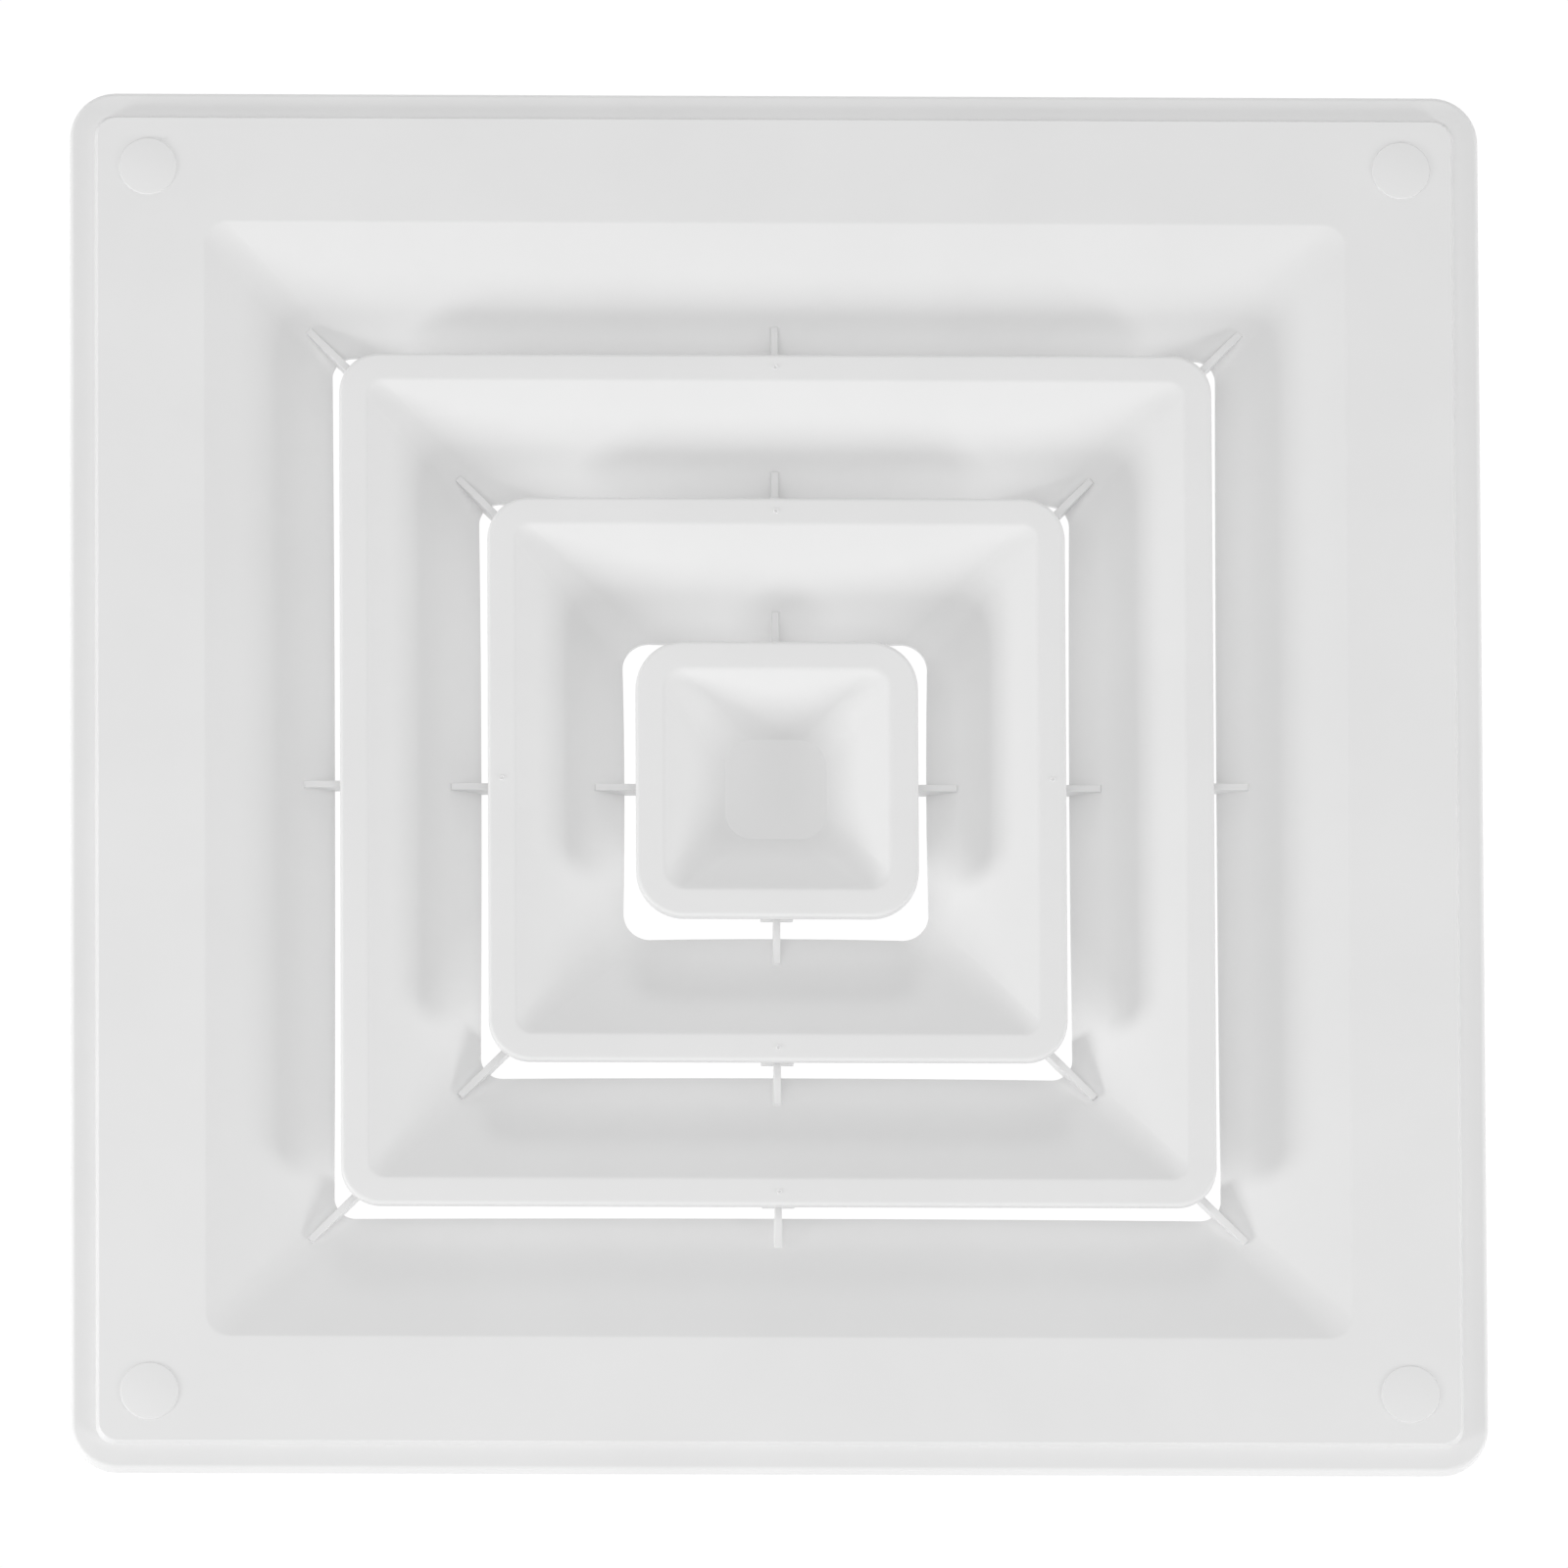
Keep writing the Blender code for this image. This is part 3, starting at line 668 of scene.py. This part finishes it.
def fixing_pockets():
    """In each corner a pocket for the cap and the screw head, with a screw hole in its floor."""
    pocket = turned(
        "fixing_pocket",
        [
            Bend(0.0, -SINK),
            Bend(POCKET_RADIUS, -SINK),
            Bend(POCKET_RADIUS, CAP_FACE),
            Bend(CAP_RADIUS + CLEARANCE, CAP_FACE + CLEARANCE),
            Bend(CAP_RADIUS + CLEARANCE, POCKET_FLOOR),
            Bend(FIXING_HOLE, POCKET_FLOOR),
            Bend(FIXING_HOLE, CEILING_DEPTH + SINK),
            Bend(0.0, CEILING_DEPTH + SINK),
        ],
        CAP_SIDES,
    )
    return placed_copies(pocket, corner_places("fixing_pocket"))


def stiffeners(slope):
    """Short webs behind the border, between the collar and the foam strips."""
    start = COLLAR_HALF - WALL / 2
    web = fin(
        "stiffener",
        [
            (start, slope.middle(start)),
            (FUNNEL_HALF, slope.middle(FUNNEL_HALF)),
            (STIFFENER_END, FACE_DEPTH + WALL - SINK),
            (STIFFENER_END, CEILING_DEPTH),
            (FUNNEL_HALF - WALL, CEILING_DEPTH),
            (start, slope.back(start) + WALL),
        ],
        RIB_THICKNESS,
    )
    places = [
        (f"{name}_{number}", matrix @ Matrix.Translation((0.0, shift, 0.0)))
        for name, matrix in turned_places("stiffener")
        for number, shift in enumerate(STIFFENER_PLACES, 1)
    ]
    return placed_copies(web, places)


def make_louvre(louvre, ribs, below, held, gates):
    """A ring louvre that stands on pads at the depth below, with ribs that carry the next one."""
    slope = louvre_slope(louvre)
    level = rib_level(slope, ribs)
    ring = moulding(f"{louvre.node}_moulding", louvre_bends(louvre))
    added = side_ribs(louvre.node, slope, level, ribs.side_outer, held)
    if ribs.corner_outer is not None:
        added += corner_ribs(louvre.node, (*louvre[3:], LOUVRE_WALL), level, ribs)
    combine(ring, added + bosses(louvre, below) + gate_marks(louvre, gates), "UNION")
    combine(ring, pad_holes(louvre.node, level, held) + pilot_holes(louvre, below), "DIFFERENCE")
    even_normals(ring)
    return ring


def make_cone(cone, below):
    dish = moulding(f"{cone.node}_moulding", cone_bends(cone), closed=False)
    combine(dish, bosses(cone, below), "UNION")
    combine(dish, pilot_holes(cone, below), "DIFFERENCE")
    even_normals(dish)
    return dish


# ---- fasteners, caps and seals -------------------------------------------------------------------

def threaded_rod(name, crest, root, start, end, pitch, tip):
    """A rod with a helical thread from start to end. The last stretch, tip, tapers to a point."""
    way = math.copysign(1.0, end - start)
    length = abs(end - start)
    rows = math.ceil(length / pitch * ROWS_A_TURN)
    loops = []
    for row in range(rows + 1):
        along = length * row / rows
        taper = min(1.0, (length - along) / tip) * (1.0 - POINT_SHARE) + POINT_SHARE
        loop = []
        for angle in around(THREAD_SIDES):
            turn = (along / pitch - way * angle / math.tau) % 1.0
            ridge = max(0.0, 1.0 - abs(2.0 * turn - 1.0) * RIDGE_SLOPE)
            radius = (root + (crest - root) * ridge) * taper
            across = Vector((math.cos(angle), math.sin(angle), 0.0)) * radius
            loop.append(across + Vector((0.0, 0.0, height(start + way * along))))
        loops.append(loop)
    return loft(name, loops, closed=False)


def cross_recess(name, reach, width, top, bottom):
    """A tapered cross to cut from a screw head, from just outside its top to its bottom."""
    loops = []
    for depth, share in ((2 * top - bottom, RECESS_TOP), (bottom, RECESS_FLOOR)):
        arm = reach * share
        loop = []
        for angle in around(SIDES):
            turn = Matrix.Rotation(angle, 3, "Z")
            for x, y in ((arm, -width), (arm, width), (width, width)):
                loop.append(turn @ Vector((x, y, height(depth))))
        loops.append(loop)
    return loft(name, loops, closed=False)


def make_screw(name, shank, head, head_height, under_head, end, pitch, tip):
    """A pan-head screw with a cross recess. Its head is on the side of under_head away from end."""
    way = math.copysign(1.0, end - under_head)
    face = under_head - way * head_height
    crown = head * CROWN_SHARE
    shoulder = under_head - way * head_height * SHOULDER_SHARE
    body = turned(
        name,
        [
            Bend(0.0, face),
            Bend(crown, face, head * CROWN_ROUND),
            Bend(head, shoulder, head * SHOULDER_ROUND),
            Bend(head, under_head, head * UNDER_ROUND),
            Bend(0.0, under_head),
        ],
        HEAD_SIDES,
    )
    rod_start = under_head - way * head_height * ROD_SINK
    thread = threaded_rod(f"{name}_thread", shank, shank * ROOT_SHARE, rod_start, end, pitch, tip)
    combine(body, [thread], "UNION")
    floor = face + way * head_height * RECESS_DEPTH
    recess = cross_recess(f"{name}_recess", head * RECESS_REACH, head * RECESS_WIDTH, face, floor)
    combine(body, [recess], "DIFFERENCE")
    shade(body)
    return body


def make_rib_screws():
    """The small screws from behind, through the pads into the bosses of each louvre."""
    made = []
    sets = (
        ("frame", FRAME_LEVEL, OUTER),
        ("outer", OUTER_LEVEL, MIDDLE),
        ("middle", MIDDLE_LEVEL, CONE),
    )
    for owner, level, held in sets:
        under_head = level + PAD_THICKNESS + CLEARANCE
        screw = make_screw(
            f"{owner}_screw", SMALL_SHANK, SMALL_HEAD, SMALL_HEAD_HEIGHT,
            under_head, under_head - SMALL_LENGTH, SMALL_PITCH, SMALL_TIP,
        )
        made += placed_copies(screw, turned_places(f"{owner}_screw_steel", pad_centre(held)))
    return made


def make_fixing_screws():
    under_head = POCKET_FLOOR - CLEARANCE
    screw = make_screw(
        "fixing", FIXING_SHANK, FIXING_HEAD, FIXING_HEAD_HEIGHT,
        under_head, under_head + FIXING_LENGTH, FIXING_PITCH, FIXING_TIP,
    )
    return placed_copies(screw, corner_places("fixing_screw_steel"))


def make_caps():
    """Push-in caps: a round face with a beaded skirt. The second keeps the stub of its sprue."""
    cap = turned(
        "cap",
        [
            Bend(0.0, 0.0),
            Bend(CAP_RADIUS, 0.0, CAP_EDGE),
            Bend(CAP_RADIUS, CAP_HEIGHT - 6 * BEAD),
            Bend(CAP_RADIUS + BEAD, CAP_HEIGHT - 4 * BEAD, BEAD),
            Bend(CAP_RADIUS - BEAD, CAP_HEIGHT, BEAD),
            Bend(CAP_BORE, CAP_HEIGHT, BEAD),
            Bend(CAP_BORE, CAP_FACE, ROOT_ROUND),
            Bend(0.0, CAP_FACE),
        ],
        CAP_SIDES,
    )
    caps = placed_copies(cap, corner_places("screw_cap_moulding"))
    stub = block(
        "sprue_stub",
        (CAP_RADIUS - SINK, CAP_RADIUS + STUB_LENGTH),
        (-STUB_WIDTH / 2, STUB_WIDTH / 2),
        (CAP_EDGE / 4, FACE_DEPTH - POCKET_GAP),
        CAP_EDGE / 4,
    )
    reach = FIXING_SPACING / 2
    second = Matrix.Translation((-reach, reach, 0.0))
    stub.matrix_world = second @ Matrix.Rotation(STUB_ANGLE, 4, "Z")
    combine(caps[1], [stub], "UNION")
    return caps


def make_foam():
    """Four strips of sealing foam with rough cut edges, on the back of the border."""
    depths = (FACE_DEPTH + WALL + CLEARANCE, CEILING_DEPTH + FOAM_PROUD)
    low = Vector((FOAM_INNER, -FOAM_HALF_LENGTH, height(depths[1])))
    high = Vector((FOAM_OUTER, FOAM_HALF_LENGTH, height(depths[0])))
    bm = bmesh.new()
    bmesh.ops.create_cube(bm, size=1.0)
    for axis, cuts in enumerate(FOAM_CUTS):
        normal = Vector([1.0 if i == axis else 0.0 for i in range(3)])
        for cut in range(1, cuts):
            bmesh.ops.bisect_plane(
                bm, geom=bm.verts[:] + bm.edges[:] + bm.faces[:],
                plane_co=normal * (cut / cuts - 0.5), plane_no=normal,
            )
    bmesh.ops.scale(bm, verts=bm.verts, vec=high - low)
    bmesh.ops.translate(bm, verts=bm.verts, vec=(high + low) / 2)
    for vert in bm.verts:
        vert.co -= vert.normal * FOAM_ROUGHNESS * (1.0 + noise.noise(vert.co * FOAM_NOISE))
    strip = mesh_object("foam", bm)
    return placed_copies(strip, turned_places("foam_strip_cut"))


# ---- materials -----------------------------------------------------------------------------------

WHITE = (0.80, 0.80, 0.80)
WHITE_SHADE = (0.785, 0.785, 0.785)
WHITE_ROUGHNESS = 0.46
SPECKED_CELLS = 0.05                    # of the cells, those with a dark speck in them
CAP_WHITE = (0.795, 0.795, 0.795)
CAP_ROUGHNESS = 0.44
RUB_SMOOTHER = 0.04                     # how far wear takes the roughness down and up
RUB_ROUGHER = 0.05
SPECK = (0.30, 0.29, 0.27)
PLASTIC_IOR = 1.49
PLASTIC_SPECULAR = 0.3
PEEL_HEIGHT = 0.00002
GRAIN_HEIGHT = 0.000006
ZINC_BRIGHT = (0.66, 0.67, 0.66)
ZINC_DULL = (0.50, 0.50, 0.46)
ZINC_ROUGHNESS = (0.22, 0.38)           # from its smoothest to its roughest
DRAWN_HEIGHT = 0.000004
DRAWN_STRETCH = (1.0, 1.0, 0.08)        # of the noise, so that its lines run along the screw
FOAM_DARK = (0.035, 0.035, 0.037)
FOAM_PALE = (0.115, 0.115, 0.12)
FOAM_DULLNESS = 0.92
PIT_HEIGHT = 0.00025


class Nodes:
    """A material's node tree, with short calls for its nodes and links."""

    def __init__(self, name):
        self.material = bpy.data.materials.new(name)
        self.material.use_nodes = True
        self.tree = self.material.node_tree
        self.shader = self.tree.nodes["Principled BSDF"]
        self.place = self.add("ShaderNodeTexCoord").outputs["Object"]

    def add(self, kind, **settings):
        node = self.tree.nodes.new(kind)
        for key, value in settings.items():
            setattr(node, key, value)
        return node

    def link(self, start, end):
        self.tree.links.new(start, end)

    def stretched(self, scale):
        mapping = self.add("ShaderNodeMapping")
        mapping.inputs["Scale"].default_value = scale
        self.link(self.place, mapping.inputs["Vector"])
        return mapping.outputs["Vector"]

    def noise(self, scale, detail=3.0, roughness=0.5, where=None):
        node = self.add("ShaderNodeTexNoise")
        node.inputs["Scale"].default_value = scale
        node.inputs["Detail"].default_value = detail
        node.inputs["Roughness"].default_value = roughness
        self.link(where or self.place, node.inputs["Vector"])
        return node.outputs["Fac"]

    def cells(self, scale):
        node = self.add("ShaderNodeTexVoronoi", feature="F1")
        node.inputs["Scale"].default_value = scale
        self.link(self.place, node.inputs["Vector"])
        return node

    def mapped(self, value, from_low, from_high, to_low=0.0, to_high=1.0):
        node = self.add("ShaderNodeMapRange")
        for key, number in (
            ("From Min", from_low),
            ("From Max", from_high),
            ("To Min", to_low),
            ("To Max", to_high),
        ):
            node.inputs[key].default_value = number
        self.link(value, node.inputs["Value"])
        return node.outputs["Result"]

    def math(self, operation, first, second):
        node = self.add("ShaderNodeMath", operation=operation)
        for socket, value in zip(node.inputs, (first, second)):
            if isinstance(value, (int, float)):
                socket.default_value = value
            else:
                self.link(value, socket)
        return node.outputs["Value"]

    def mixed(self, share, first, second):
        node = self.add("ShaderNodeMix", data_type="RGBA")
        self.link(share, node.inputs["Factor"])
        for socket, value in ((node.inputs["A"], first), (node.inputs["B"], second)):
            if isinstance(value, tuple):
                socket.default_value = (*value, 1.0)
            else:
                self.link(value, socket)
        return node.outputs["Result"]

    def bump(self, level, distance, strength, under=None):
        node = self.add("ShaderNodeBump")
        node.inputs["Distance"].default_value = distance
        node.inputs["Strength"].default_value = strength
        self.link(level, node.inputs["Height"])
        if under is not None:
            self.link(under, node.inputs["Normal"])
        return node.outputs["Normal"]

    def finish(self, **inputs):
        for key, value in inputs.items():
            socket = self.shader.inputs[key.replace("_", " ")]
            if isinstance(value, (int, float)):
                socket.default_value = value
            elif isinstance(value, tuple):
                socket.default_value = (*value, 1.0)
            else:
                self.link(value, socket)
        return self.material


def white_plastic(name, light, dark, roughness, speck_share):
    """Moulded white plastic: a fine orange-peel grain, faint mottling, and a few dark specks."""
    made = Nodes(name)
    mottle = made.noise(scale=28.0, detail=4.0, roughness=0.6)
    tone = made.mixed(made.mapped(mottle, 0.35, 0.65), light, dark)
    specks = made.cells(scale=48.0)
    small = made.mapped(specks.outputs["Distance"], 0.004, 0.014, 1.0, 0.0)
    parts = made.add("ShaderNodeSeparateColor")
    made.link(specks.outputs["Color"], parts.inputs["Color"])
    chosen = made.math("LESS_THAN", parts.outputs["Red"], speck_share)
    spot = made.math("MULTIPLY", small, chosen)
    colour = made.mixed(spot, tone, SPECK)
    grain = made.noise(scale=2600.0, detail=2.0)
    peel = made.noise(scale=420.0)
    wear = made.noise(scale=60.0, detail=5.0)
    rubbed = made.mapped(wear, 0.3, 0.7, roughness - RUB_SMOOTHER, roughness + RUB_ROUGHER)
    normal = made.bump(peel, PEEL_HEIGHT, strength=0.6)
    normal = made.bump(grain, GRAIN_HEIGHT, strength=0.6, under=normal)
    return made.finish(
        Base_Color=colour, Roughness=rubbed, Normal=normal, IOR=PLASTIC_IOR,
        Specular_IOR_Level=PLASTIC_SPECULAR,
    )


def zinc_steel(name):
    """Zinc-plated steel: a bright, slightly blotched metal with fine drawn lines."""
    made = Nodes(name)
    blotch = made.mapped(made.noise(scale=700.0, detail=4.0), 0.3, 0.7)
    colour = made.mixed(blotch, ZINC_BRIGHT, ZINC_DULL)
    rough = made.mapped(made.noise(scale=1500.0), 0.3, 0.7, *ZINC_ROUGHNESS)
    lines = made.noise(scale=9000.0, detail=1.0, where=made.stretched(DRAWN_STRETCH))
    drawn = made.bump(lines, DRAWN_HEIGHT, strength=0.5)
    return made.finish(Base_Color=colour, Roughness=rough, Metallic=1.0, Normal=drawn)


def grey_foam(name):
    """Closed-cell sealing foam: dark grey, dull, pitted all over, with painted shade in the pits.
    """
    made = Nodes(name)
    cells = made.cells(scale=1700.0)
    pit_shade_and_depth = made.mapped(cells.outputs["Distance"], 0.0, 0.6)
    # Painted shade: the colour darkens towards the middle of each pit, where the bump sinks it.
    colour = made.mixed(pit_shade_and_depth, FOAM_DARK, FOAM_PALE)
    pitted = made.bump(pit_shade_and_depth, PIT_HEIGHT, strength=0.9)
    return made.finish(Base_Color=colour, Roughness=FOAM_DULLNESS, Normal=pitted)


def dress(pieces, finish, body="diffuser"):
    """Gives pieces their material and its slot, and puts them on a body."""
    for piece in pieces:
        piece.data.materials.clear()
        piece.data.materials.append(finish)
        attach(piece, body)


def stand_for(pieces, nodes):
    for piece, node in zip(pieces, nodes):
        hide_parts(node)


def numbered(name):
    return [f"{name}_{number}" for number in range(1, SIDES + 1)]


def make_pieces():
    white = white_plastic("white_plastic", WHITE, WHITE_SHADE, WHITE_ROUGHNESS, SPECKED_CELLS)
    cap_white = white_plastic("cap_plastic", CAP_WHITE, WHITE_SHADE, CAP_ROUGHNESS, 0.0)
    zinc = zinc_steel("zinc_plated_steel")
    foam = grey_foam("grey_foam")

    mouldings = [
        make_frame(),
        make_louvre(OUTER, OUTER_RIBS, FRAME_LEVEL, MIDDLE, OUTER_GATES),
        make_louvre(MIDDLE, MIDDLE_RIBS, OUTER_LEVEL, CONE, MIDDLE_GATES),
        make_cone(CONE, MIDDLE_LEVEL),
    ]
    dress(mouldings, white)
    stand_for(mouldings, ["frame", OUTER.node, MIDDLE.node, CONE.node])

    caps = make_caps()
    for number, cap in enumerate(caps, 1):
        dress([cap], cap_white, f"cap_{number}")
    stand_for(caps, numbered("screw_cap"))

    fixings = make_fixing_screws()
    dress(fixings, zinc)
    stand_for(fixings, numbered("fixing_screw"))

    small = make_rib_screws()
    dress(small, zinc)
    owners = ("frame", "outer", "middle")
    stand_for(small, [node for owner in owners for node in numbered(f"{owner}_rib_screw")])

    strips = make_foam()
    dress(strips, foam)
    stand_for(strips, numbered("foam_strip"))


# ---- stage, light and camera ---------------------------------------------------------------------

TABLE_HALF = 12.0
TABLE_GAP = 0.0001                      # between the table and the collar that stands on it
TABLE_GLOW = 1.02                       # a little over pure white
AMBIENT = 0.445                         # strength of the white world
CAMERA_DISTANCE = 9.4
CAMERA_LEAN = math.radians(13.28)       # from straight above the face, towards -Y
CAMERA_SIDE = math.radians(1.99)        # and towards -X
CAMERA_ROLL = math.radians(-0.27)
CAMERA_AIM = (0.00138, -0.00126)
LENS = 1016.7
SENSOR = 36.0
CLIP = (1.0, 30.0)

Light = namedtuple("Light", "name azimuth elevation distance size watts")
LIGHTS = (
    Light("left_softbox", 208.0, 12.0, 1.5, 0.30, 9.2),
    Light("right_softbox", 327.0, 12.5, 1.5, 0.35, 7.4),
    Light("back_softbox", 90.0, 13.0, 1.5, 0.30, 2.2),
    Light("front_overhead", 270.0, 70.0, 1.5, 0.80, 2.8),
    Light("back_overhead", 90.0, 70.0, 1.5, 0.80, 2.0),
    Light("left_overhead", 180.0, 60.0, 1.5, 0.80, 2.6),
    Light("right_overhead", 0.0, 60.0, 1.5, 0.80, 1.4),
)


def make_table():
    bm = bmesh.new()
    bmesh.ops.create_grid(bm, x_segments=1, y_segments=1, size=TABLE_HALF)
    table = mesh_object("white_table", bm)
    table.location.z = cad_low.z - TABLE_GAP
    made = bpy.data.materials.new("white_table")
    made.use_nodes = True
    shader = made.node_tree.nodes["Principled BSDF"]
    shader.inputs["Base Color"].default_value = (0.0, 0.0, 0.0, 1.0)
    shader.inputs["Specular IOR Level"].default_value = 0.0
    shader.inputs["Emission Color"].default_value = (1.0, 1.0, 1.0, 1.0)
    shader.inputs["Emission Strength"].default_value = TABLE_GLOW
    table.data.materials.append(made)


def make_world():
    world = bpy.data.worlds.new("studio")
    world.use_nodes = True
    background = world.node_tree.nodes["Background"]
    background.inputs["Color"].default_value = (1.0, 1.0, 1.0, 1.0)
    background.inputs["Strength"].default_value = AMBIENT
    bpy.context.scene.world = world


def make_lights():
    face = Vector((0.0, 0.0, STAND_HEIGHT))
    for light in LIGHTS:
        azimuth, elevation = math.radians(light.azimuth), math.radians(light.elevation)
        level = Vector((math.cos(azimuth), math.sin(azimuth), 0.0)) * math.cos(elevation)
        way = level + Vector((0.0, 0.0, math.sin(elevation)))
        data = bpy.data.lights.new(light.name, "AREA")
        data.shape = "SQUARE"
        data.size = light.size
        data.energy = light.watts
        lamp = bpy.data.objects.new(light.name, data)
        lamp.location = face + way * light.distance
        lamp.rotation_mode = "QUATERNION"
        lamp.rotation_quaternion = way.to_track_quat("Z", "Y")
        lamp.visible_camera = False
        bpy.context.scene.collection.objects.link(lamp)


def make_camera():
    data = bpy.data.cameras.new("camera")
    data.lens = LENS
    data.sensor_width = SENSOR
    data.clip_start, data.clip_end = CLIP
    back = Vector((-math.tan(CAMERA_SIDE), -math.tan(CAMERA_LEAN), 1.0)).normalized()
    right = Vector((0.0, 1.0, 0.0)).cross(back).normalized()
    axes = Matrix((right, back.cross(right), back)).transposed()
    camera = bpy.data.objects.new("camera", data)
    turn = axes.to_4x4() @ Matrix.Rotation(CAMERA_ROLL, 4, "Z")
    aim = Vector((*CAMERA_AIM, STAND_HEIGHT))
    camera.matrix_world = Matrix.Translation(aim + back * CAMERA_DISTANCE) @ turn
    bpy.context.scene.collection.objects.link(camera)
    bpy.context.scene.camera = camera


def main():
    make_pieces()
    make_table()
    make_world()
    make_lights()
    make_camera()
    bpy.context.scene.view_settings.view_transform = "Standard"


main()
